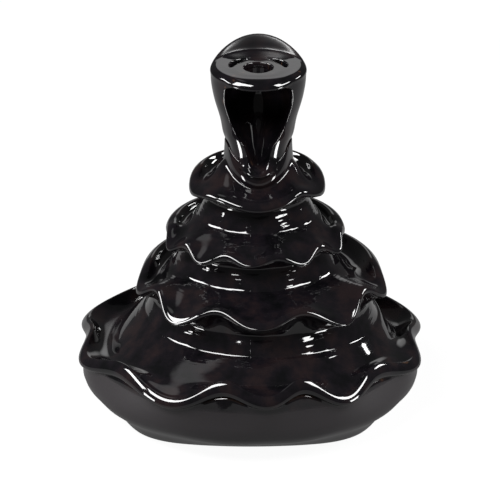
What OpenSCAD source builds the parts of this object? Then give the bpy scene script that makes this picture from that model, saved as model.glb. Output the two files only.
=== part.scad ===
// Backflow incense burner, one slip-cast piece of glazed ceramic.
// A stand for a cone, with a hood behind it, sits over a small cave. The
// smoke sinks through the bore, leaves the cave at its mouth and falls over
// three leaf-shaped tiers into a wide scalloped basin.
// The front of the object faces -Y, and angles are measured from the front.

/* [Basin] */
// Radius of the basin's rim at its crests
basin_r = 58; // [56:0.5:61]
// Height of the basin's rim at its crests
basin_z = 31; // [28:0.5:34]
// Thickness of the basin's rounded rim
basin_lip = 4; // [3:0.25:5.5]
// Number of waves round the basin's rim
basin_waves = 10; // [6:1:12]
// How far the troughs of the rim dip below its crests
basin_dip = 8.2; // [0:0.2:10]
// How far the troughs of the rim flare out past its crests
basin_flare = 3.5; // [0:0.5:5]
// Width of the flat foot
foot_w = 88; // [76:1:96]
// Depth of the flat foot from front to back
foot_d = 80; // [70:1:92]

/* [Low tier] */
// Radius of the low tier's rim
low_r = 42; // [41:0.2:45]
// Height of the low tier's rim
low_z = 51.2; // [50:0.2:54]
// How far the scallops at its front dip
low_dip = 5.8; // [0:0.2:6]
// How far the scallops at its front flare out
low_flare = 4.2; // [0:0.2:4.6]
// Height of its outer face at the sides and behind
low_face = 8.6; // [5:0.2:9]
// Height of its outer face at the front
low_front = 3; // [2:0.2:4]

/* [Middle tier] */
// Radius of the middle tier's rim
middle_r = 31; // [29:0.5:34]
// Height of the middle tier's rim
middle_z = 67.4; // [66:0.2:69]
// How far the scallops at its front dip
middle_dip = 3.4; // [0:0.2:4]
// How far the scallops at its front flare out
middle_flare = 2; // [0:0.2:2.6]
// Height of its outer face at the sides and behind
middle_face = 5.8; // [4.4:0.2:6.6]
// Height of its outer face at the front
middle_front = 3.4; // [2:0.2:4]

/* [Top tier] */
// Radius of the top tier's rim
top_r = 23.4; // [22:0.2:26]
// Height of the top tier's rim
top_z = 86.6; // [84:0.2:89]
// How far the spout at its front dips
top_dip = 4.2; // [0:0.2:5]
// How far the spout at its front flares out
top_flare = 0.8; // [0:0.1:2]
// Height of its outer face at the sides and behind
top_face = 9.6; // [6:0.2:10]
// Height of its outer face at the front
top_front = 2.8; // [2:0.2:4]

/* [Cone stand] */
// Radius of the stand at its widest
stand_r = 16.4; // [15.5:0.1:18.5]
// Height of the plate that the cone stands on
plate_z = 124.2; // [121:0.2:128]
// Height of the hood above the plate
hood_h = 6.4; // [3:0.2:10]
// Thickness of the lip that overhangs the cave
lip_h = 3.2; // [2.6:0.1:4]
// Radius of the neck
neck_r = 11.3; // [10.5:0.1:12.5]
// Diameter of the smoke bore
bore_d = 10; // [6:0.5:11]
// Width of the two vents beside the bore
vent_w = 2.6; // [1.5:0.1:3]
// Radius on which the vents lie, round the bore
vent_r = 9.4; // [9:0.1:10.4]
// Angle that each vent spans
vent_span = 52; // [20:1:70]

/* [Cave] */
// Width of the cave's mouth at the top
cave_w = 22.6; // [18:0.2:24]
// Width of the gutter that the mouth narrows to
gutter_w = 6.6; // [5:0.2:9]
// Height of the gutter's floor
gutter_z = 96; // [94:0.5:98]
// How far behind the bore's axis the cave's back wall stands
cave_back = 9; // [6:0.1:9.5]

/* [Hollow] */
// Thickness of the casting round the hollow that is open underneath
wall = 6; // [5:0.25:8]

/* [Hidden] */
// Number of columns in which the skin is drawn round the axis
cols = 78;
// Each form stands a little to one side, as the hand-finished original does
low_x = 3.8;
middle_x = 1.6;
top_x = 2.3;
stand_x = 2.7;
hollow_x = 2;
// Angle from the back of the bore at which each vent begins
vent_from = 28;

// Height of each riser's foot above the rim of the dish that it stands in
neck_rise = 0.6;
middle_rise = 3.4;
low_rise = 1.8;
basin_rise = 2.6;
// How far the foot of each riser stands inside the rim above it
middle_in = 2.4;
low_in = 2.2;
basin_in = 1.2;
// Size of the soft fillet at the foot of a riser
fillet = 3.6;
// How far a riser draws in, above its fillet, under the tier that it carries
tuck = 3;
// How far the dish of each tier sinks below its rim at the sides and behind
top_sink = 3;
middle_sink = 3;
low_sink = 4;
// Depth of a tier's rounded rim, at the sides and behind and at the front
rim_soft = 4;
rim_front = 2.2;
// Height of the bowl's wall, under the rim, as a share of the rim's height
bowl_share = 0.66;
// How far the hollow stays in from the bowl's widest part, besides its wall
bowl_lean = 4;
// Height of the straight ring that the burner stands on, inside
foot_ring = 2;

function mix(a, b, t) = a + (b - a) * t;
function ease(t) = let (s = min(1, max(0, t))) s * s * (3 - 2 * s);
function polar(x, y, r, angle, z) = [x + r * sin(angle), y - r * cos(angle), z];

// A smooth curve through the points p, at t along it: 1.5 is half way
// between the second point and the third
function through(p, t) =
    let (
        last = len(p) - 1,
        i = min(floor(t), last - 1),
        s = t - i,
        a = p[max(i - 1, 0)],
        b = p[i],
        c = p[i + 1],
        d = p[min(i + 2, last)]
    )
    b + 0.5 * s * (c - a + s * (2 * a - 5 * b + 4 * c - d + s * (3 * b - 3 * c + d - a)));

// How much of its dip a scalloped rim has at an angle, from 0 to 1
function scallop(angle, waves, trough) = (1 + cos(waves * (angle - trough))) / 2;
// The tiers are scalloped at the front and plain behind: from 1 to 0, with the
// change over the 40 degrees that follow the 62nd
function at_front(angle) = 1 - ease((abs(angle) - 62) / 40);
// Their scallops dip less in the middle than at its two sides
function deepen(angle) = 0.6 + 0.8 * sin(abs(angle));

// How far the basin's waves are out of step with even ones, in degrees: they
// were pressed by hand
function drift(angle) = 4.5 * cos(2 * (angle + 15)) + 3.2 * cos(4 * (angle + 16));

// Foot of a riser: drawn in under the tier above, then a fillet on the dish
function riser(r, z, x, draw) = [
    [r - 0.4 - draw, z + (1.2 + 0.3 * draw) * fillet, x],
    [r - 0.3 - 0.4 * draw, z + 0.9 * fillet, x],
    [r + 0.2, z + 0.15 * fillet, x],
    [r + 1.6, z - 0.15 * fillet, x]
];

// Section of one tier at an angle: riser on it, dish, rounded rim, outer face
// and the start of its underside. In a trough, where wave is 1, the rim dips
// and flares. On a crest, where it is 0, the rim stands above the dish.
function leaf(angle, foot_x, x, foot_r, foot_z, draw, rim_r, rim_z, dip, wave, flare, face, sink) =
    let (
        front = at_front(angle),
        r = rim_r + flare * wave,
        z = rim_z - dip * wave,
        sunk = mix(sink, 0, front),
        soft = mix(rim_soft, rim_front, front),
        foot = foot_z - 0.5 * sunk,
        crown_r = r - soft,
        crown_z = mix(rim_z, z, 0.85) + 0.3,
        dish_r = rim_r - soft - 2.5,
        dish_z = rim_z - 0.4 * dip - 0.5 * sunk
    )
    [for (p = concat(riser(foot_r, foot, foot_x, draw), [
        [mix(foot_r, dish_r, 0.55), mix(foot, dish_z, 0.5) - 0.4 * sunk, mix(foot_x, x, 0.5)],
        [dish_r, mix(dish_z, crown_z, 0.2), x],
        [crown_r, crown_z, x],
        [mix(crown_r, r, 0.6), mix(crown_z, z, 0.8) - 0.1 * face, x],
        [r - 0.05 * soft, z - 0.36 * face, x],
        [r - 0.2, z - 0.74 * face, x],
        [r - 1.3, z - face, x],
        [r - 3.4, z - face - 0.2, x]
    ])) polar(p[2], 0, p[0], angle, p[1])];

// Section of the basin at an angle, down to the foot. The waves are in the rim
// alone, and the wall under it is a plain bowl. The rim is a little wider than
// it is deep, and its waves are high at the front and low behind.
function basin(angle, wave) =
    let (
        foot_r = low_r - basin_in,
        foot_z = basin_z + basin_rise,
        front = 1 - ease((abs(angle) - 15) / 70),
        across = pow(sin(angle), 2),
        dip = basin_dip * wave * mix(1, 0.85, front),
        r = basin_r - 2.5 * (1 - across) + basin_flare * wave * mix(1, 1.25, across),
        z = basin_z - basin_dip + (basin_dip - dip) * mix(0.2, 1, front),
        roll = 0.7 * (1 - wave),
        wall_r = basin_r - 0.8,
        wall_z = bowl_share * basin_z,
        dish_r = basin_r - 1.85 * basin_lip,
        dish_z = mix(wall_z - 1, basin_z - 3, front),
        n = 2.7,
        oval = pow(pow(abs(sin(angle)) / foot_w, n) + pow(abs(cos(angle)) / foot_d, n), -1 / n) / 2
    )
    [for (p = concat(riser(foot_r, foot_z, low_x, tuck), [
        [mix(foot_r, dish_r, 0.5), mix(foot_z, dish_z, 0.55), 0.5 * low_x],
        [dish_r, dish_z, 0.1 * low_x],
        [mix(basin_r, r, 0.7) - basin_lip - 0.5, mix(dish_z - 1, z, 0.5), 0],
        [r - 0.62 * basin_lip, z + 0.1, 0],
        [r - 0.3 * basin_lip, z - 0.3, 0],
        [r - 0.05 * basin_lip + 0.4 * roll, z - 1.2 - roll, 0],
        [r + roll, z - 0.75 * basin_lip - 1.5 * roll, 0],
        [mix(r, basin_r + 2, 0.6), mix(z, wall_z, 0.7) - 4.5, 0],
        [wall_r, 0.46 * wall_z, 0],
        [mix(wall_r, oval, 0.42), 0.2 * wall_z, 0],
        [mix(wall_r, oval, 0.85), 0.04 * wall_z, 0],
        [oval - 0.6, 0, 0]
    ])) polar(p[2], 0, p[0], angle, p[1])];

// The stand's own lines. Its columns close up on the edge of the cave's
// mouth, so that the edge is one clean line from the lip to the gutter.
edge_column = 45;
lip_z = plate_z - lip_h;
stand_y = 3;
// Height at which the neck ends in its fillet, on the top tier
neck_z = top_z + 5.6;
// How far the tip of the gutter stands out in front of the neck
spout = 1.9;

// Height of the hood above the plate, all of it behind the bore
function hood(angle) = abs(angle) < 90 ? 0 : hood_h * pow(sin(abs(angle) - 90), 2);

// Outside of the stand from the lip to the neck: radius, height, middle
outer_line = [
    [stand_r, lip_z, stand_y],
    [0.985 * stand_r, mix(gutter_z, lip_z, 0.86), 0.9 * stand_y],
    [0.925 * stand_r, mix(gutter_z, lip_z, 0.66), 0.7 * stand_y],
    [mix(neck_r, stand_r, 0.38), mix(gutter_z, lip_z, 0.4), 0.4 * stand_y],
    [mix(neck_r, stand_r, 0.2), mix(gutter_z, lip_z, 0.2), 0.1 * stand_y],
    [neck_r, gutter_z, 0],
    [neck_r, neck_z, 0]
];
// Middle of the cave: under the lip, roof, back wall, gutter, spout
cave_line = [
    [4 - stand_r, lip_z - 0.3],
    [-4, lip_z - 0.8],
    [cave_back, lip_z - 6],
    [cave_back - 1, mix(gutter_z, lip_z, 0.3)],
    [-3, gutter_z],
    [1.2 - neck_r, gutter_z - 1.6],
    [-neck_r - spout, neck_z + 1],
    [-neck_r - 0.6 * spout, neck_z]
];
mouth_line = [
    [cave_w / 2],
    [cave_w / 2],
    [0.49 * cave_w],
    [0.425 * cave_w],
    [mix(cave_w, gutter_w, 0.5) / 2],
    [mix(cave_w, gutter_w, 0.9) / 2],
    [0.55 * gutter_w],
    [0.7 * neck_r]
];
// Number of steps in which the walls run down from the lip to the neck
cave_rows = 14;

// The walls on each side of the mouth swell into two rounded jaws above the
// neck: how much they add to the radius, from the lip (0) to the neck (1)
jaw = 1.4;
function jaw_at(t) = jaw * max(0, sin(300 * (t - 0.35)));

// A point of a row that bends round the front. Outside of its edge it follows
// a circle. Inside it follows the circle too, or turns back into the cave.
function row_point(angle, r, z, y, half, front_y, front_z, hollow, swell = 0) =
    let (
        side = angle < 0 ? -1 : 1,
        edge = asin(min(0.98, half / (r + swell))),
        edge_y = y - (r + swell) * cos(edge),
        past = (abs(angle) - edge_column) / (180 - edge_column),
        turn = mix(edge, 180, past),
        inside = min(1, abs(angle) / edge_column),
        bend = 1 - cos(90 * inside),
        arc = atan2(half, -edge_y) * inside,
        arc_r = mix(-front_y, norm([half, edge_y]), ease(inside)),
        on_circle = [arc_r * sin(arc), -arc_r * cos(arc)],
        in_cave = [half * sin(90 * inside), mix(front_y, edge_y, bend)],
        at = mix(on_circle, in_cave, hollow),
        out_r = r + swell * (1 - ease((turn - 30) / 40))
    )
    abs(angle) >= edge_column
        ? polar(stand_x, y, out_r, side * turn, z)
        : [stand_x + side * at[0], at[1], mix(front_z, z, bend)];

// Plate, hood and lip, from the bore outwards
function stand(angle) =
    let (rise = hood(angle))
    [for (p = [
        [3, 0, 0, -3, 0],
        [8, 0, 0.2, -7, 0],
        [0.77 * stand_r, 0, 0.75, 6.4 - stand_r, -0.1],
        [0.88 * stand_r, 0.1 * rise - 0.1, 1, 5.2 - stand_r, -0.3],
        [0.95 * stand_r, 0.55 * rise - 0.3, 1, 4.4 - stand_r, -0.8],
        [0.98 * stand_r + 0.02 * rise, 0.9 * rise - 0.6, 1, 3.8 - stand_r, -1.4],
        [stand_r + 0.04 * rise, rise - 1, 1, 3.7 - stand_r, -2.1],
        [stand_r + 0.1 * rise, 0.9 * rise - 1.7, 1, 3.9 - stand_r, -2.8],
        [stand_r + 0.06 * rise, 0.45 * rise - 2.5, 1, 4.4 - stand_r, -lip_h]
    ]) row_point(angle, p[0], plate_z + p[1], p[2] * stand_y, p[0] * sin(edge_column),
        p[3], plate_z + p[4], 0)];

// Walls of the stand, with the cave between them, down to the neck
function walls(angle) =
    [for (i = [0:cave_rows])
        let (
            t = i / cave_rows,
            out = through(outer_line, t * (len(outer_line) - 1)),
            mid = through(cave_line, t * (len(cave_line) - 1)),
            half = through(mouth_line, t * (len(mouth_line) - 1))[0],
            hollow = ease(t / 0.12) * (1 - ease((t - 0.84) / 0.14))
        )
        row_point(angle, out[0], out[1], out[2], half, mid[0], mid[1], hollow, jaw_at(t))];

// One column of the outer skin, from the bore down to the middle of the foot
function column(angle) =
    let (
        front = at_front(angle),
        top_wave = front * mix(0.5, 1, scallop(angle, 4.5, 1)),
        middle_wave = front * scallop(angle, 11, -2.5),
        low_wave = front * scallop(angle, 9, -1),
        basin_wave = scallop(angle - drift(angle), basin_waves, 1.5)
    )
    concat(
        stand(angle),
        walls(angle),
        leaf(angle, stand_x, top_x, neck_r + 0.8, top_z + neck_rise, 0, top_r, top_z,
            top_dip, top_wave, top_flare, mix(top_face, top_front, front), top_sink),
        leaf(angle, top_x, middle_x, top_r - middle_in, middle_z + middle_rise, tuck,
            middle_r, middle_z, middle_dip * deepen(angle), middle_wave, middle_flare,
            mix(middle_face, middle_front, front) * (1 - 0.4 * middle_wave), middle_sink),
        leaf(angle, middle_x, low_x, middle_r - low_in, low_z + low_rise, tuck,
            low_r, low_z, low_dip * deepen(angle), low_wave, low_flare,
            mix(low_face, low_front, front) * (1 - 0.4 * low_wave), low_sink),
        basin(angle, basin_wave)
    );

// The whole outer skin, closed over the bore and under the foot
module skin() {
    columns = [for (i = [0:cols - 1]) column(360 * i / cols - 180 + 180 / cols)];
    rows = len(columns[0]);
    function at(i, j) = (i % cols) * rows + j;
    sides = [for (i = [0:cols - 1], j = [0:rows - 2])
        each [
            [at(i, j), at(i + 1, j + 1), at(i, j + 1)],
            [at(i, j), at(i + 1, j), at(i + 1, j + 1)]
        ]];
    ends = [
        [for (i = [cols - 1:-1:0]) at(i, 0)],
        [for (i = [0:cols - 1]) at(i, rows - 1)]
    ];
    polyhedron([for (c = columns) each c], concat(sides, ends));
}

// Smoke bore through the plate into the cave, and a vent on each side behind it
module smoke_ways() {
    way_low = lip_z - 6;
    way_h = plate_z + 1 - way_low;
    translate([stand_x, 0, way_low]) {
        cylinder(d = bore_d, h = way_h, $fn = 48);
        for (side = [-1, 1])
            rotate(90 + side * (vent_from + vent_span / 2)) {
                rotate([0, 0, -vent_span / 2])
                    rotate_extrude(angle = vent_span, $fn = 96)
                        translate([vent_r - vent_w / 2, 0]) square([vent_w, way_h]);
                for (end = [-1, 1])
                    rotate(end * vent_span / 2)
                        translate([vent_r, 0]) cylinder(d = vent_w, h = way_h, $fn = 24);
            }
    }
}

// Hollow left by the slip, open underneath. It follows the bowl and the tiers
// around it at the thickness of the wall, and steps in under each tier.
module hollow() {
    foot_in = foot_d / 2 - wall;
    bowl_in = basin_r - wall;
    low_in_r = low_r - basin_in - tuck - wall;
    middle_in_r = middle_r - low_in - tuck - wall;
    top_in_r = top_r - middle_in - tuck - wall;
    translate([hollow_x, 0, 0])
        rotate_extrude($fn = 64)
            polygon([
                [0, -1],
                [foot_in, -1],
                [foot_in, foot_ring],
                [bowl_in - bowl_lean, 0.35 * basin_z],
                [bowl_in - 1.7 * bowl_lean, 0.5 * basin_z],
                [low_in_r, 0.7 * basin_z],
                [low_in_r, low_z - low_face - foot_ring],
                [middle_in_r, low_z - wall],
                [middle_in_r, middle_z - 1.5 * wall],
                [top_in_r, middle_z - 0.8 * wall],
                [top_in_r, top_z - 1.6 * wall],
                [neck_r - wall, top_z - wall],
                [0, top_z]
            ]);
}

module burner() {
    color([0.06, 0.055, 0.06])
        difference() {
            skin();
            smoke_ways();
            hollow();
        }
}

burner();
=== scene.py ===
# %% [markdown]
# # A backflow incense burner in glossy black glaze
# The real burner is one slip-cast piece of stoneware. A hooded stand for the cone
# sits over a small cave, and three leaf-shaped tiers lead down to a wide scalloped
# basin. The shape was fixed in CAD, so this script starts by loading that model.
# The burner's lengths are in millimetres, as in the CAD source. Blender works in
# metres, and MM turns one into the other.

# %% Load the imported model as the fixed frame
import math

import bpy
import numpy as np
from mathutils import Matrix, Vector


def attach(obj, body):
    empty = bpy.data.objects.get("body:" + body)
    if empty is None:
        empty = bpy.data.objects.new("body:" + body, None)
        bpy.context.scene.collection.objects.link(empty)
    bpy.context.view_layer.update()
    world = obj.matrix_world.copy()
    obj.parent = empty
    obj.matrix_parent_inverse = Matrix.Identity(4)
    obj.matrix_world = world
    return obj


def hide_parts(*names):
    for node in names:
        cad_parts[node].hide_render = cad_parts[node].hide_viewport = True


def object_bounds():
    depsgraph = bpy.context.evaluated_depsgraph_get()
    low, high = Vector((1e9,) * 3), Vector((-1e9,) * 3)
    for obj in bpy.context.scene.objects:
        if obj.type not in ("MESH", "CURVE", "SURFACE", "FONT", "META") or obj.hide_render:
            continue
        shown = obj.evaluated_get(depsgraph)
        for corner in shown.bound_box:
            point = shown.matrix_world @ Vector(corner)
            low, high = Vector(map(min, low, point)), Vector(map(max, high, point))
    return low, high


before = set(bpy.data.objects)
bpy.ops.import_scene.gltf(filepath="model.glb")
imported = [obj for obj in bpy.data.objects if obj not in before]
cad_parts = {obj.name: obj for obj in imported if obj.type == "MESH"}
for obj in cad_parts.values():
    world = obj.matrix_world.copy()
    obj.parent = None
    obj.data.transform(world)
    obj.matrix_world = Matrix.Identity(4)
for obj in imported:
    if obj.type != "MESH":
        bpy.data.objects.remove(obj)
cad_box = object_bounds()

MM = 0.001
print("CAD box in mm:", [[round(v / MM, 1) for v in corner] for corner in cad_box])

# %% [markdown]
# ## How the skin is drawn
# A wet clay form like this has no straight line in it. It could be modelled with
# subdivision surfaces, but its waves run round the piece while its section changes
# from tier to tier. So the skin is drawn as columns: one section of the piece for
# each angle, from the bore in the stand down to the foot. The same few measures
# that shape the CAD solid shape the sections, and a smooth curve fills each one in.

# %% Columns round the burner, counted in degrees from the front
COLUMNS = 300
angle = np.linspace(-180, 180, COLUMNS, endpoint=False) + 180 / COLUMNS
turned = np.abs(angle)
side = np.where(angle < 0, -1.0, 1.0)
widest = cad_box[1][0] / MM
print(COLUMNS, "columns,", round(2 * math.pi * widest / COLUMNS, 2), "mm apart on the basin's rim")


# %% Blends, curves and rings
def mix(a, b, t):
    """The value that lies the share t of the way from a to b."""
    return a + (b - a) * t


def ease(t):
    """From 0 to 1 with a soft start and a soft end."""
    s = np.clip(t, 0, 1)
    return s * s * (3 - 2 * s)


def near(at, middle, width):
    """1 at the middle, and next to nothing two widths away from it."""
    return np.exp(-((at - middle) / width) ** 2)


def curve(a, b, c, d, s):
    """The point at s, from 0 at b to 1 at c, on a smooth curve through four points."""
    return b + 0.5 * s * (c - a + s * (2 * a - 5 * b + 4 * c - d + s * (3 * b - 3 * c + d - a)))


def ring(r, z, x=0.0, y=0.0, turn=angle):
    """One point on each column, on a circle of radius r round (x, y)."""
    t = np.radians(turn)
    return np.stack([x + r * np.sin(t), y - r * np.cos(t), z + 0 * t], -1)


print("a ring of", len(ring(10, 0)), "points")

# %% [markdown]
# ## Stand and cave
# The stand's rim rises into a hood behind the bore, and its lip overhangs a cave.
# An overhang could be cut out of a closed form, but its edges would come out sharp,
# and here the clay runs round them like a lip. So each row of points follows the wall
# round the back and turns into the cave at the front. All rows turn at one column,
# so the mouth's edge is a single clean line that can be rounded afterwards.

# %% Sizes of the stand
# The stand's axis lies right of the middle, and the rim's centre behind the bore
STAND_X, STAND_Y = 2.7, 3.0
STAND_R, NECK_R = 16.4, 11.3
# Height of the plate, how far the hood rises above it, and the thickness of the lip
PLATE_Z, HOOD, LIP = 124.2, 6.4, 3.2
LIP_Z = PLATE_Z - LIP
# The vents are curved slots, placed by their middle's angle from the back
BORE_R, VENT_R, VENT_W = 5.0, 9.4, 2.6
VENT_TURN, VENT_SPAN = 54, 62
# Mouth of the cave, the gutter at its foot, and the cave's back behind the bore
MOUTH_W, GUTTER_W, GUTTER_Z, CAVE_BACK = 22.6, 6.6, 96, 9
# The column, in degrees from the front, that runs down the mouth's edge
EDGE = 45
# Rim of the top tier, the neck's foot above it, and how far the gutter reaches out
TOP_Z = 86.6
NECK_Z, SPOUT = TOP_Z + 5.6, 1.9
hood = HOOD * np.where(turned < 90, 0, np.sin(np.radians(turned - 90))) ** 2
print("the hood rises", round(hood.max(), 1), "mm above the plate")


# %% One row of the stand, round the wall or into the cave
def stand_row(r, z, y, half, front_y, front_z, hollow, swell=0.0):
    """A row on the wall (r, z) round (STAND_X, y), closed across the front.

    The front part spans half the mouth's width to each side and crosses the
    middle at (front_y, front_z). It bulges out on the plate, where hollow is 0,
    and into the cave, where hollow is 1. A swell thickens the jaws by the mouth.
    """
    edge = np.degrees(np.arcsin(np.minimum(0.98, half / (r + swell))))
    edge_y = y - (r + swell) * np.cos(np.radians(edge))
    turn = mix(edge, 180, (turned - EDGE) / (180 - EDGE))
    jaw = r + swell * (1 - ease((turn - 30) / 40))
    wall = ring(jaw, z, STAND_X, y, side * turn)

    inside = np.minimum(1, turned / EDGE)
    bend = 1 - np.cos(np.radians(90 * inside))
    arc = np.arctan2(half, -edge_y) * inside
    arc_r = mix(-front_y, np.hypot(half, edge_y), ease(inside))
    on_plate = np.stack([arc_r * np.sin(arc), -arc_r * np.cos(arc)])
    in_cave = np.stack([half * np.sin(np.radians(90 * inside)), mix(front_y, edge_y, bend)])
    x, y = mix(on_plate, in_cave, hollow)
    closing = np.stack([STAND_X + side * x, y, mix(front_z, z, bend)], -1)
    return np.where((turned >= EDGE)[:, None], wall, closing)


print("the mouth's edge runs down the columns", EDGE, "degrees from the front")


# %% Plate with its bore and two vents pressed into it
def melted_holes(rows, depth=4.2, rounding=0.45, steep=0.3):
    """Presses the bore and the vents into the plate, with melted round edges."""
    x, y = rows[..., 0] - STAND_X, rows[..., 1]
    away = np.hypot(x, y)
    bearing = np.degrees(np.arctan2(np.abs(x), y))
    vent = VENT_W / 2 * (np.hypot((bearing - VENT_TURN) / (VENT_SPAN / 2),
                                  (away - VENT_R) / (VENT_W / 2)) - 1)
    outside = np.minimum(away - BORE_R, vent)
    rolled = rounding - np.sqrt(rounding ** 2 - np.clip(rounding - outside, 0, rounding) ** 2)
    rows[..., 2] -= rolled + (depth - rounding) * ease(-outside / steep)
    return rows


def plate_row(r):
    """The plate is round, and its middle lies a little behind the bore."""
    z = PLATE_Z - 0.1 * ease((r - 8) / 4.6)
    y = np.interp(r, [3, 8, 12.6], [0, 0.6, 2.25])
    front_y = -np.interp(r, [0, 3, 8, 12.63], [0, 3, 7, 10])
    return stand_row(r, z, y, r * math.sin(math.radians(EDGE)), front_y, z, 0)


# The rows lie closer together where they cross the edges of the bore and the vents
plate_r = np.concatenate([np.linspace(0.4, 4.4, 5), np.linspace(4.55, 5.7, 14),
                          np.linspace(6.1, 7.7, 4), np.linspace(7.8, 11.0, 30), [11.5, 12.0, 12.5]])
plate_rows = melted_holes(np.array([plate_row(r) for r in plate_r]))
print(len(plate_rows), "rows on the plate")

# %% Rim, hood and lip
# Shares of the radius, of the hood outwards and of the hood upwards, then the height
# above the plate, the share of STAND_Y, and the front point with its height
RIM = [
    (0.83, 0, 0, -0.1, 0.85, -10.8, -0.1),
    (0.88, 0, 0.03, -0.12, 0.95, -12.0, -0.3),
    (0.9, 0, 0.2, -0.25, 1, -12.9, -0.7),
    (0.925, 0, 0.52, -0.45, 1, -13.6, -1.3),
    (0.96, 0.02, 0.86, -0.8, 1, -14.1, -2.1),
    (1, 0.03, 1, -1.4, 1, -14.3, -2.9),
    (1.01, 0.08, 0.92, -2.1, 1, -14.0, -3.6),
    (1, 0.06, 0.5, -2.9, 1, -13.3, -4.0),
]
rim_rows = []
for share, out, up, z, y, front_y, front_z in RIM:
    r = share * STAND_R + out * hood
    rim_rows.append(stand_row(r, PLATE_Z + up * hood + z, y * STAND_Y, r * np.sin(np.radians(EDGE)),
                              front_y, PLATE_Z + front_z, 0))
print(len(rim_rows), "rows round the rim and the hood")

# %% [markdown]
# Three lines lead the walls down to the neck. One is the outer wall, with its radius,
# height and centre. One is the middle of the cave, which runs back under the lip and
# comes forward again as a gutter. The last is half the width of the mouth, which
# narrows to the gutter.

# %% Lines of the wall, the cave and the mouth
outer_line = np.array([
    [STAND_R, LIP_Z, STAND_Y],
    [0.985 * STAND_R, mix(GUTTER_Z, LIP_Z, 0.86), 0.9 * STAND_Y],
    [0.925 * STAND_R, mix(GUTTER_Z, LIP_Z, 0.66), 0.7 * STAND_Y],
    [mix(NECK_R, STAND_R, 0.38), mix(GUTTER_Z, LIP_Z, 0.4), 0.4 * STAND_Y],
    [mix(NECK_R, STAND_R, 0.2), mix(GUTTER_Z, LIP_Z, 0.2), 0.1 * STAND_Y],
    [NECK_R, GUTTER_Z, 0],
    [NECK_R, NECK_Z, 0],
])
cave_line = np.array([
    [4 - STAND_R, LIP_Z - 0.3],
    [-4, LIP_Z - 0.8],
    [CAVE_BACK, LIP_Z - 6],
    [CAVE_BACK - 1, mix(GUTTER_Z, LIP_Z, 0.3)],
    [-3, GUTTER_Z],
    [1.2 - NECK_R, GUTTER_Z - 1.6],
    [-NECK_R - SPOUT, NECK_Z + 1],
    [-NECK_R - 0.6 * SPOUT, NECK_Z],
])
mouth_line = np.array([
    MOUTH_W / 2,
    MOUTH_W / 2,
    0.49 * MOUTH_W,
    0.425 * MOUTH_W,
    mix(MOUTH_W, GUTTER_W, 0.5) / 2,
    mix(MOUTH_W, GUTTER_W, 0.9) / 2,
    0.55 * GUTTER_W,
    0.7 * NECK_R,
])
print("the cave runs back", round(CAVE_BACK + STAND_R - STAND_Y, 1), "mm from the lip")


# %% Walls and cave, with the mouth's edge rounded
def along(line, t):
    """The point at t, from 0 to 1, on a smooth curve through a line's points."""
    t = t * (len(line) - 1)
    i = min(int(t), len(line) - 2)
    return curve(line[max(i - 1, 0)], line[i], line[i + 1], line[min(i + 2, len(line) - 1)], t - i)


WALL_ROWS, JAW_SWELL = 46, 1.4
wall_rows = []
for t in np.linspace(0, 1, WALL_ROWS):
    r, z, y = along(outer_line, t)
    front_y, front_z = along(cave_line, t)
    hollow = ease(t / 0.12) * (1 - ease((t - 0.84) / 0.14))
    swell = JAW_SWELL * max(0, math.sin(math.radians(300 * (t - 0.35))))
    wall_rows.append(stand_row(r, z, y, along(mouth_line, t), front_y, front_z, hollow, swell))
wall_rows = np.array(wall_rows)

# Each pass moves the points by the mouth's edge toward their neighbours, as a wet
# finger does, and so rounds the edge a little more
SMOOTHING_PASSES = 9
by_the_edge = near(turned, EDGE + 1, 7)[None, :, None]
for _ in range(SMOOTHING_PASSES):
    softer = (np.roll(wall_rows, 1, 1) + 2 * wall_rows + np.roll(wall_rows, -1, 1)) / 4
    wall_rows = mix(wall_rows, softer, by_the_edge)
print(len(wall_rows), "rows down the walls of the cave")

# %% [markdown]
# ## Tiers and basin
# Each tier is a leaf-shaped dish: a riser with a soft foot, a floor that slopes
# outwards, and a rounded rim that is scalloped at the front where the smoke
# spills over. The basin ends the column with its waved rim, bowl and foot. A leaf
# is a function, because three tiers differ only in their sizes and waves.

# %% Sizes of the tiers
TOP_R, MIDDLE_R, LOW_R, BASIN_R = 23.4, 31.0, 42.0, 58.0
MIDDLE_Z, LOW_Z, BASIN_Z = 67.4, 51.2, 31.0
# The tiers weren't set quite over one another
TOP_X, MIDDLE_X, LOW_X, HOLLOW_X = 2.3, 1.6, 3.8, 2.0
# Radius of the foot of the riser that stands in each dish, and how far it is drawn in
MIDDLE_FOOT_R, LOW_FOOT_R, BASIN_FOOT_R = TOP_R - 2.4, MIDDLE_R - 2.2, LOW_R - 1.2
TUCK = 3.0
# 1 at the front and 0 behind, and deeper waves toward the sides
front = 1 - ease((turned - 62) / 40)
deepen = 0.6 + 0.8 * np.sin(np.radians(turned))
print("rims at", LOW_Z, MIDDLE_Z, TOP_Z, "mm")


# %% Riser, leaf and wave
def riser(r, z, x, draw):
    """Foot of a riser: drawn in under the tier above, then a fillet on the dish."""
    return [
        ring(r - 0.5 - draw, z + 7.5, x),
        ring(r - 0.4 - 0.55 * draw, z + 4.4, x),
        ring(r - 0.2 - 0.15 * draw, z + 1.9, x),
        ring(r + 0.15, z + 0.55, x),
        ring(r + 1.3, z - 0.2, x),
    ]


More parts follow.
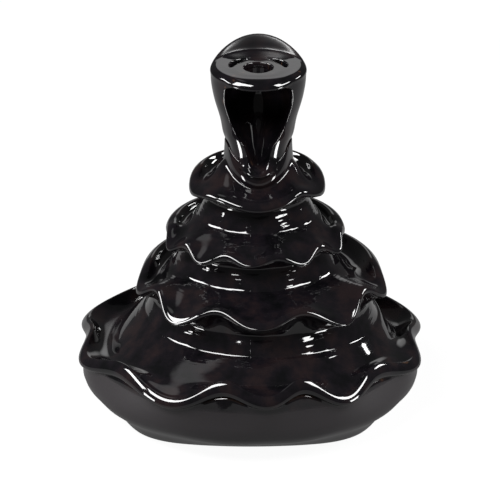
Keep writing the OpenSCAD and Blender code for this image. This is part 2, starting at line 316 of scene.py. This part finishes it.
def leaf(foot_x, foot_r, foot_z, draw, x, rim_r, rim_z, dip, flare, waves, face, dish):
    """A riser, its dish and its rim, which dips and flares in the waves' troughs."""
    r, z = rim_r + flare * waves, rim_z - dip * waves
    sunk = mix(dish, 0, front)
    foot = foot_z - 0.5 * sunk
    soft = mix(4, 2.2, front)
    crown_r, crown_z = r - soft, mix(rim_z, z, 0.85) + 0.3
    floor_r, floor_z = foot_r + 1.3, foot - 0.2
    return riser(foot_r, foot, foot_x, draw) + [
        ring(mix(floor_r, crown_r, 0.36), mix(floor_z, crown_z, 0.38) - 0.9 * sunk, mix(foot_x, x, 0.4)),
        ring(mix(floor_r, crown_r, 0.72), mix(floor_z, crown_z, 0.76) - 0.8 * sunk, mix(foot_x, x, 0.8)),
        ring(crown_r, crown_z, x),
        ring(mix(crown_r, r, 0.6), mix(crown_z, z, 0.8) - 0.1 * face, x),
        ring(r - 0.05 * soft, z - 0.36 * face, x),
        ring(r - 0.2, z - 0.74 * face, x),
        ring(r - 1.3, z - face, x),
        ring(r - 3.4, z - face - 0.2, x),
    ]


def wave(count, trough):
    """1 in each trough of a rim with so many waves, 0 on each crest."""
    return (1 + np.cos(np.radians(count * (angle - trough)))) / 2


top_wave = front * (mix(0.5, 1, wave(4.5, 1)) - 0.35 * near(angle, 40, 11))
middle_wave = front * wave(11, -2.5)
low_wave = front * wave(9, -1)
tier_rows = leaf(
    foot_x=STAND_X, foot_r=NECK_R + 0.8, foot_z=TOP_Z + 0.6, draw=0,
    x=TOP_X, rim_r=TOP_R, rim_z=TOP_Z, dip=4.2, flare=0.8, waves=top_wave,
    face=mix(9.6, 2.8, front), dish=3)
tier_rows += leaf(
    foot_x=TOP_X, foot_r=MIDDLE_FOOT_R, foot_z=MIDDLE_Z + 3.4, draw=TUCK,
    x=MIDDLE_X, rim_r=MIDDLE_R, rim_z=MIDDLE_Z, dip=3.4 * deepen, flare=2, waves=middle_wave,
    face=mix(5.8, 3.4, front) * (1 - 0.4 * middle_wave), dish=3)
tier_rows += leaf(
    foot_x=MIDDLE_X, foot_r=LOW_FOOT_R, foot_z=LOW_Z + 1.8, draw=TUCK,
    x=LOW_X, rim_r=LOW_R, rim_z=LOW_Z, dip=5.8 * deepen, flare=4.2, waves=low_wave,
    face=mix(8.6, 3, front) * (1 - 0.4 * low_wave), dish=4)
print(len(tier_rows), "rows on the tiers")

# %% [markdown]
# The basin's rim was pinched by hand, so its ten waves aren't even. They drift to and
# fro round the rim, flare out in the troughs, and lie lower at the sides. The dish
# inside is shallow at the front and deep at the sides and behind. A thick rolled
# band follows the wave, and under it the wall goes in to an oval foot.

# %% Waved rim of the basin
BASIN_LIP, BASIN_DIP, BASIN_FLARE = 4.0, 8.2, 3.5
drift = 4.5 * np.cos(np.radians(2 * (angle + 15))) + 3.2 * np.cos(np.radians(4 * (angle + 16)))
basin_wave = wave(10, drift + 1.5)
at_front = 1 - ease((turned - 15) / 70)
across = np.sin(np.radians(angle)) ** 2
# The rim reaches out a little further just behind each side
rim_r = BASIN_R - 2.5 * (1 - across) + BASIN_FLARE * basin_wave * mix(1, 1.1, across)
rim_r = rim_r + 1.5 * near(turned, 112, 10)
# The trough in the middle of the front is shallower than the others
shallow_trough = 1 - 0.38 * near(angle, 4, 13)
dip = BASIN_DIP * basin_wave * mix(1, 0.85, at_front) * shallow_trough
rim_z = BASIN_Z - BASIN_DIP + (BASIN_DIP - dip) * mix(0.36, 1, at_front)
rim_band = mix(5.4, 3.8, basin_wave)
print("the rim waves from", round(rim_z.min(), 1), "to", round(rim_z.max(), 1), "mm")

# %% Dish, band, wall and oval foot of the basin
FOOT_W, FOOT_D, SQUARENESS = 88.0, 80.0, 3.5
oval = ((np.abs(np.sin(np.radians(angle))) / FOOT_W) ** SQUARENESS
        + (np.abs(np.cos(np.radians(angle))) / FOOT_D) ** SQUARENESS) ** (-1 / SQUARENESS) / 2
wall_r, wall_z = BASIN_R - 1.4 + 2.2 * across, 0.66 * BASIN_Z
tucked = 0.4 * basin_wave * (1 - 0.8 * across)
at_right = np.maximum(0, np.sin(np.radians(angle))) ** 2
dish_r = BASIN_R - 1.85 * BASIN_LIP
dish_z = BASIN_Z - mix(3.5, 10.5, ease((turned - 35 - 22 * at_right) / 55))
foot_z = BASIN_Z + 2.6 - 2.4 * at_right
basin_rows = riser(BASIN_FOOT_R, foot_z, LOW_X, TUCK) + [
    ring(mix(BASIN_FOOT_R + 1.3, dish_r, 0.5), mix(foot_z - 0.2, dish_z, 0.5), 0.5 * LOW_X),
    ring(dish_r, dish_z, 0.1 * LOW_X),
    ring(mix(BASIN_R, rim_r, 0.6) - BASIN_LIP - 0.4, mix(dish_z, rim_z, mix(0.3, 0.58, basin_wave))),
    ring(rim_r - 3.0, rim_z - 0.2 + 0.5 * basin_wave),
    ring(rim_r - 2.2, rim_z + 0.15 * basin_wave),
    ring(rim_r - 1.3, rim_z - 0.12 * rim_band),
    ring(rim_r - 0.5, rim_z - 0.34 * rim_band),
    ring(rim_r + 0.1, rim_z - 0.62 * rim_band),
    ring(rim_r, rim_z - 0.86 * rim_band),
    ring(rim_r - 0.7, rim_z - rim_band),
    ring(rim_r - 1.1 - tucked, rim_z - 1.06 * rim_band),
    ring(mix(rim_r - 1.3 - 1.2 * tucked, wall_r, 0.3), rim_z - 1.3 * rim_band),
    ring(wall_r, 0.5 * wall_z),
    ring(mix(wall_r, oval, 0.46 + 0.16 * across), 0.23 * wall_z),
    ring(mix(wall_r, oval, 0.8 + 0.08 * across), 0.06 * wall_z),
    ring(oval + 0.2, 0),
]
print(len(basin_rows), "rows on the basin")

# %% [markdown]
# ## Hollow under the burner
# A slip-cast piece is hollow and open at the foot, where the slip was poured out.
# Nobody sees that in use, so the photo can't show it. The hollow here steps up
# under the tiers, as it does in the CAD solid.

# %% Rows of the hollow
# How far the hollow stays in from the foot, the bowl and the feet of the risers
WALL = 6.0
bowl_in = BASIN_R - WALL
low_in = BASIN_FOOT_R - TUCK - WALL
middle_in = LOW_FOOT_R - TUCK - WALL
top_in = MIDDLE_FOOT_R - TUCK - WALL
hollow_line = [
    (FOOT_D / 2 - WALL, 0), (FOOT_D / 2 - WALL, 2),
    (bowl_in - 4, 0.35 * BASIN_Z), (bowl_in - 6.8, 0.5 * BASIN_Z),
    (low_in, 0.7 * BASIN_Z), (low_in, LOW_Z - 10.6),
    (middle_in, LOW_Z - WALL), (middle_in, MIDDLE_Z - 1.5 * WALL),
    (top_in, MIDDLE_Z - 0.8 * WALL), (top_in, TOP_Z - 1.6 * WALL),
    (NECK_R - WALL, TOP_Z - WALL), (0.3, TOP_Z),
]
hollow_rows = [ring(r, z, HOLLOW_X) for r, z in hollow_line]
print(len(hollow_rows), "rows inside the hollow")

# %% [markdown]
# ## One skin out of all the rows
# Most of the rows so far are only guides, a few millimetres apart. A curve through
# each column's points fills them in, and wet clay bends in just such a curve. The
# neck's foot is then drawn down to a point at the front, where a thumb wiped it smooth.


# %% Smooth curves down the columns
def smooth_rows(rows, steps=3):
    """A smooth curve down every column, steps points for each row that it passes."""
    rows = np.array(rows)
    before, here, after = np.concatenate([rows[:1], rows[:-2]]), rows[:-1], rows[1:]
    beyond = np.concatenate([rows[2:], rows[-1:]])
    points = [curve(before, here, after, beyond, s) for s in np.arange(steps) / steps]
    return np.concatenate([np.stack(points, 1).reshape(-1, COLUMNS, 3), rows[-1:]])


upper = np.concatenate([
    plate_rows,
    smooth_rows(rim_rows)[:-1],
    wall_rows[:-1],
    smooth_rows(list(wall_rows[-1:]) + tier_rows + basin_rows),
])
print(len(upper), "rows on the outside")


# %% Neck drawn down to a point under the gutter
def draw_neck_down(rows, foot=90.5, reach=6.5, out=4.5, climb=5.5, drop=2.5):
    """The neck's foot climbs at the sides and comes to a point under the gutter."""
    x, y, z = rows[..., 0] - STAND_X, rows[..., 1], rows[..., 2]
    r = np.hypot(x, y)
    point = 1 - ease(np.degrees(np.abs(np.arctan2(x, -y))) / 75)
    here = near(z, foot, reach) * (1 - ease((r - 12.5) / 9)) * (r > 6)
    push = out * point * here
    rows[..., 2] += here * mix(climb, -drop, point)
    rows[..., 0] += push * x / np.maximum(r, 1)
    rows[..., 1] += push * y / np.maximum(r, 1)
    return rows


skin = np.concatenate([draw_neck_down(upper), np.array(hollow_rows)])
print(len(skin), "rows by", COLUMNS, "columns")


# %% Make the mesh
def make_mesh(name, points, faces):
    """A new object in the scene from points in mm."""
    mesh = bpy.data.meshes.new(name)
    mesh.from_pydata((np.array(points) * MM).tolist(), [], faces)
    mesh.validate()
    made = bpy.data.objects.new(name, mesh)
    bpy.context.scene.collection.objects.link(made)
    return made


rows, last = len(skin), (len(skin) - 1) * COLUMNS
faces = [(j * COLUMNS + i, (j + 1) * COLUMNS + i,
          (j + 1) * COLUMNS + (i + 1) % COLUMNS, j * COLUMNS + (i + 1) % COLUMNS)
         for j in range(rows - 1) for i in range(COLUMNS)]
faces += [list(range(COLUMNS)), [last + i for i in reversed(range(COLUMNS))]]
burner = make_mesh("glazed_burner", skin.reshape(-1, 3), faces)
burner.data.shade_smooth()
print(len(burner.data.vertices), "points")

# %% [markdown]
# ## Bore and vents
# The cone's smoke sinks through the bore, and the vents let air in. In the real
# clay they were cut with a hollow punch before the glaze, which then melted over
# their edges. The skin already dips at each one, so a boolean cut only has to
# open the bottoms of the dips into the cave.


# %% Cut them through to the cave
def cutter(name, x, y):
    """An upright tool with the outline (x, y) in mm, from the cave's roof to the plate."""
    count = len(x)
    points = [(STAND_X + a, b, z) for z in (LIP_Z - 5.5, PLATE_Z - 2) for a, b in zip(x, y)]
    faces = [list(range(count))[::-1], list(range(count, 2 * count))]
    faces += [(i, (i + 1) % count, count + (i + 1) % count, count + i) for i in range(count)]
    return make_mesh(name, points, faces)


# The holes are cut this much narrower than pressed, as the glaze ran a little way in
GLAZE = 0.12
t = np.radians(np.arange(0, 360, 7.5))
tools = [cutter("bore_tool", (BORE_R - GLAZE) * np.cos(t), (BORE_R - GLAZE) * np.sin(t))]
for sign in (1, -1):
    bearing = np.radians(sign * VENT_TURN + (VENT_SPAN / 2 - 1) * np.cos(t))
    r = VENT_R + (VENT_W / 2 - GLAZE) * np.sin(t)
    tools.append(cutter("vent_tool", r * np.sin(bearing), r * np.cos(bearing)))
for tool in tools:
    cut = burner.modifiers.new(tool.name, "BOOLEAN")
    cut.operation, cut.solver, cut.object = "DIFFERENCE", "MANIFOLD", tool
whole = bpy.data.meshes.new_from_object(burner.evaluated_get(bpy.context.evaluated_depsgraph_get()))
# The cut leaves an empty material slot behind, which would take the glaze's place
whole.materials.clear()
burner.modifiers.clear()
burner.data = whole
for tool in tools:
    bpy.data.objects.remove(tool)
print(sum(len(face.vertices) - 2 for face in burner.data.polygons), "triangles")

# %% [markdown]
# ## Black glaze
# Stoneware was dipped in a black iron glaze and fired until the glaze melted to glass.
# The glass gives sharp, bright lamp lines on a nearly black body. A shader could
# stack a clear coat on a matt clay, but the glaze hides the clay, so one dark
# dielectric does. Glass has an IOR of about 1.52 and a fired skin a roughness of
# about 0.05. Colours are hex values as a painter would pick them, made linear here.


# %% Colours and nodes
def linear(hex_colour):
    """An sRGB colour, such as "1a2b3c", as the linear colour that Blender mixes."""
    channels = [int(hex_colour[i:i + 2], 16) / 255 for i in (0, 2, 4)]
    return [c / 12.92 if c <= 0.04045 else ((c + 0.055) / 1.055) ** 2.4 for c in channels] + [1]


def add(tree, kind, settings=None, links=None):
    """Adds a node with its settings, and links its inputs to other sockets."""
    node = tree.nodes.new(kind)
    for name, value in (settings or {}).items():
        if isinstance(name, str) and hasattr(node, name):
            setattr(node, name, value)
        else:
            node.inputs[name].default_value = value
    for name, socket in (links or {}).items():
        tree.links.new(socket, node.inputs[name])
    return node


def combine(tree, operation, first, second):
    """The result of a math node on two sockets."""
    return add(tree, "ShaderNodeMath", {"operation": operation}, {0: first, 1: second}).outputs[0]


def remap(tree, value, settings):
    """A socket's value stretched from one range to another."""
    return add(tree, "ShaderNodeMapRange", settings, {"Value": value}).outputs[0]


glaze = bpy.data.materials.new("glossy_black_glazed_stoneware")
glaze.use_nodes = True
tree = glaze.node_tree
shader = tree.nodes["Principled BSDF"]
shader.inputs["IOR"].default_value = 1.52
place = add(tree, "ShaderNodeTexCoord").outputs["Object"]
axes = add(tree, "ShaderNodeSeparateXYZ", None, {0: place})
height = axes.outputs["Z"]
print("a glaze with an IOR of", round(shader.inputs["IOR"].default_value, 2))


# %% Masks by height, and noise measured in millimetres
def belt(low, high, soft):
    """1 where the glaze's height in mm lies between low and high, with soft edges."""
    def step(at, below, above):
        return remap(glaze.node_tree, height, {
            "interpolation_type": "SMOOTHSTEP", "From Min": (at - soft) * MM, "From Max": (at + soft) * MM,
            "To Min": below, "To Max": above})
    return combine(glaze.node_tree, "MULTIPLY", step(low, 0.0, 1.0), step(high, 1.0, 0.0))


def noise(size, detail, seed=0.0):
    """Noise on the glaze with a feature size in mm."""
    spots = add(glaze.node_tree, "ShaderNodeMapping", {"Location": (seed, 0, 0)}, {"Vector": place})
    return add(glaze.node_tree, "ShaderNodeTexNoise",
               {"Scale": 1 / (size * MM), "Detail": detail, "Roughness": 0.6},
               {"Vector": spots.outputs[0]}).outputs[0]


# Everything under the basin's band, and the hood above the plate
BAND_Z = 20.5
foot_belt = belt(-5, BAND_Z, 0.8)
hood_belt = belt(PLATE_Z + 0.12, 150, 0.1)
print(len(tree.nodes), "nodes so far")

# %% [markdown]
# Up close the black isn't even. It pooled in clouds about 9 mm wide, some blue-black
# and some brown-black, and on sharp edges it ran thin and shows its iron. Below the
# band of the basin and on the hood it was sprayed thin and came out of the kiln
# satin, so lamps leave only a soft sheen there. Below the band the colour is also a
# shade lighter, which is painted reflection of the white paper that the wall faces.

# %% Colour and gloss
GLOSSY, SATIN = 0.05, 0.36
mottle = add(tree, "ShaderNodeValToRGB", None, {"Fac": noise(9, 3)})
ramp = mottle.color_ramp
ramp.elements[0].position, ramp.elements[0].color = 0.36, linear("050506")
ramp.elements[1].position, ramp.elements[1].color = 0.66, linear("150f10")
ramp.elements.new(0.5).color = linear("0b090c")

sharp = add(tree, "ShaderNodeNewGeometry").outputs["Pointiness"]
thin = remap(tree, sharp, {"From Min": 0.54, "From Max": 0.62, "To Max": 0.35})
body = add(tree, "ShaderNodeMix", {"data_type": "RGBA", 7: linear("4a3426")},
           {0: thin, 6: mottle.outputs[0]})
# Below the band the colour is lighter: painted reflection of the white paper under the wall
colour = add(tree, "ShaderNodeMix", {"data_type": "RGBA", 7: linear("1b181a")},
             {0: foot_belt, 6: body.outputs[2]})
tree.links.new(colour.outputs[2], shader.inputs["Base Color"])

satin = combine(tree, "MAXIMUM", foot_belt, hood_belt)
roughness = remap(tree, satin, {"To Min": GLOSSY, "To Max": SATIN})
tree.links.new(roughness, shader.inputs["Roughness"])
print("roughness", GLOSSY, "where glossy,", SATIN, "where satin")

# %% [markdown]
# The wet clay was smoothed with a sponge on the wheel. That left fine rings round
# the risers, about 1.6 mm apart, which show as thin parallel lamp lines. They are
# too shallow to model, so they are bump, and they wander a little and fade in
# places. A second bump, 6 mm wide, breaks up the reflections on the floors.

# %% Sponge rings and the soft skin
RING_GAP, RING_DEPTH, RING_WANDER = 1.6, 0.28, 0.006
SOFT_SIZE, SOFT_DEPTH = 6, 0.16
flat = add(tree, "ShaderNodeCombineXYZ", None, {0: axes.outputs["X"], 1: axes.outputs["Y"]})
away = add(tree, "ShaderNodeVectorMath", {"operation": "LENGTH"}, {0: flat.outputs[0]})
turn = combine(tree, "ARCTAN2", axes.outputs["X"], axes.outputs["Y"])
slow = add(tree, "ShaderNodeMath", {"operation": "MULTIPLY", 1: RING_WANDER}, {0: turn}).outputs[0]
ringed = add(tree, "ShaderNodeCombineXYZ", None, {0: slow, 1: away.outputs["Value"], 2: height})
lines = add(tree, "ShaderNodeTexNoise", {"Scale": 1 / (RING_GAP * MM), "Detail": 1.5, "Roughness": 0.5},
            {"Vector": ringed.outputs[0]}).outputs[0]

# The heights in mm between which each riser shows
basin_riser, low_riser, middle_riser = belt(31, 41, 2), belt(50.5, 59, 1.5), belt(69, 78, 1.5)
on_risers = combine(tree, "MAXIMUM", basin_riser, combine(tree, "MAXIMUM", low_riser, middle_riser))
patchy = remap(tree, noise(14, 1, seed=3.0),
               {"From Min": 0.35, "From Max": 0.65, "To Min": 0.15, "To Max": 1.0})
soft_skin = add(tree, "ShaderNodeBump", {"Strength": 0.2, "Distance": SOFT_DEPTH * MM},
                {"Height": noise(SOFT_SIZE, 2, seed=7.0)})
rings = add(tree, "ShaderNodeBump", {"Distance": RING_DEPTH * MM},
            {"Strength": combine(tree, "MULTIPLY", on_risers, patchy), "Height": lines,
             "Normal": soft_skin.outputs[0]})
tree.links.new(rings.outputs[0], shader.inputs["Normal"])
burner.data.materials.append(glaze)
print(len(tree.nodes), "nodes in the glaze")

# %% [markdown]
# ## Studio
# A black glaze shows little but what it mirrors, so the studio makes the look. The
# burner stands on white paper that the camera sees as pure white and that the glaze
# mirrors as a dim grey. The paper keeps a trace of the burner's shadow.

# %% White paper
WHITE = (1, 1, 1, 1)
floor = make_mesh("floor", [(-350, -300, 0), (350, -300, 0), (350, 700, 0), (-350, 700, 0)], [(0, 1, 2, 3)])
paper = bpy.data.materials.new("white_paper")
paper.use_nodes = True
tree = paper.node_tree
tree.nodes.clear()
path = add(tree, "ShaderNodeLightPath")
seen = remap(tree, path.outputs["Is Camera Ray"], {"To Min": 0.3, "To Max": 1.0})
glow = add(tree, "ShaderNodeEmission", {"Color": WHITE}, {"Strength": seen})
matt = add(tree, "ShaderNodeBsdfDiffuse", {"Color": (0.8, 0.8, 0.8, 1)})
both = add(tree, "ShaderNodeMixShader", {"Fac": 0.06}, {1: glow.outputs[0], 2: matt.outputs[0]})
add(tree, "ShaderNodeOutputMaterial", None, {"Surface": both.outputs[0]})
floor.data.materials.append(paper)
print("paper", [round(v, 2) for v in floor.dimensions[:2]], "m")

# %% [markdown]
# The room is dark, apart from a pale glow low behind the burner and a pale card above
# its left side. Level faces, such as the plate, mirror the glow and come out grey, and
# the card leaves soft grey patches on the floors that slope to the camera. The camera
# itself sees plain white.


# %% Room
def glow_toward(direction, inner, outer):
    """1 within inner degrees of a direction, fading to 0 at outer degrees."""
    coord = add(tree, "ShaderNodeTexCoord")
    facing = add(tree, "ShaderNodeVectorMath",
                 {"operation": "DOT_PRODUCT", 1: Vector(direction).normalized()},
                 {0: coord.outputs["Generated"]})
    return remap(tree, facing.outputs["Value"], {
        "interpolation_type": "SMOOTHSTEP",
        "From Min": math.cos(math.radians(outer)), "From Max": math.cos(math.radians(inner))})


ROOM_DARK, ROOM_PALE = 0.07, 0.9
world = bpy.data.worlds.new("studio")
bpy.context.scene.world = world
world.use_nodes = True
tree = world.node_tree
tree.nodes.clear()
path = add(tree, "ShaderNodeLightPath")
behind = glow_toward((0, 0.934, 0.358), 7, 15)
card = glow_toward((-0.36, 0.2, 0.91), 4, 10)
room = remap(tree, combine(tree, "MAXIMUM", behind, card), {"To Min": ROOM_DARK, "To Max": ROOM_PALE})
dark = add(tree, "ShaderNodeBackground", {"Color": WHITE}, {"Strength": room})
white = add(tree, "ShaderNodeBackground", {"Color": WHITE, "Strength": 1.0})
pick = add(tree, "ShaderNodeMixShader", None,
           {0: path.outputs["Is Camera Ray"], 1: dark.outputs[0], 2: white.outputs[0]})
add(tree, "ShaderNodeOutputWorld", None, {"Surface": pick.outputs[0]})
print(len(tree.nodes), "nodes in the room")

# %% [markdown]
# Four softboxes draw the lamp lines round the feet of the risers and along the
# waved rims. They are wide and low, so their lines are long and thin. Two small
# strips lie near the paper at the sides, and only the upright edges of the cave's
# mouth mirror them. Lamps are placed in metres.


# %% Lamps
def softbox(name, place, aim, width, height, brightness=25):
    """A lamp at a place that faces the point it is aimed at."""
    lamp = bpy.data.lights.new(name, "AREA")
    lamp.shape, lamp.size, lamp.size_y = "RECTANGLE", width, height
    lamp.energy = brightness * math.pi * width * height
    holder = bpy.data.objects.new(name, lamp)
    holder.location = place
    holder.rotation_euler = (aim - place).to_track_quat("-Z", "Y").to_euler()
    holder.visible_camera = False
    bpy.context.scene.collection.objects.link(holder)


BURNER_MIDDLE, DISTANCE = Vector((0, 0, 0.06)), 1.3
for name, azimuth, elevation, width, height in [
    ("front_left_softbox", -132, 50, 0.85, 0.35),
    ("left_softbox", -88, 34, 0.6, 0.35),
    ("front_right_softbox", 110, 41, 0.7, 0.3),
    ("right_softbox", 66, 26, 0.4, 0.16),
]:
    a, e = math.radians(azimuth), math.radians(elevation)
    toward = Vector((math.sin(a) * math.cos(e), math.cos(a) * math.cos(e), math.sin(e)))
    softbox(name, BURNER_MIDDLE + DISTANCE * toward, BURNER_MIDDLE, width, height)
MOUTH_MIDDLE = Vector((0, 0, 0.105))
for name, x in (("left_strip", -0.134), ("right_strip", 0.134)):
    softbox(name, Vector((x, -0.078, 0.04)), MOUTH_MIDDLE, 0.028, 0.045)
print([light.name for light in bpy.data.lights])

# %% [markdown]
# ## Camera
# The burner was photographed from a little above, with a long lens that keeps its
# tiers level. So the camera stands over a metre away and looks 24 degrees down.

# %% Camera
PITCH = 24
camera = bpy.data.cameras.new("camera")
camera.lens = 247.5
camera.sensor_width = 36
camera.shift_x = -0.001
camera.clip_end = 50
eye = bpy.data.objects.new("camera", camera)
eye.location = (0, -1.0963, 0.5441)
eye.rotation_euler = (math.radians(90 - PITCH), 0, 0)
bpy.context.scene.collection.objects.link(eye)
bpy.context.scene.camera = eye
bpy.context.scene.view_settings.view_transform = "Standard"
print("camera", round(eye.location.length, 2), "m away")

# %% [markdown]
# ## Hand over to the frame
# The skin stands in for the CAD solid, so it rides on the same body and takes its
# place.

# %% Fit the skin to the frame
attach(burner, "root")
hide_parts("burner")
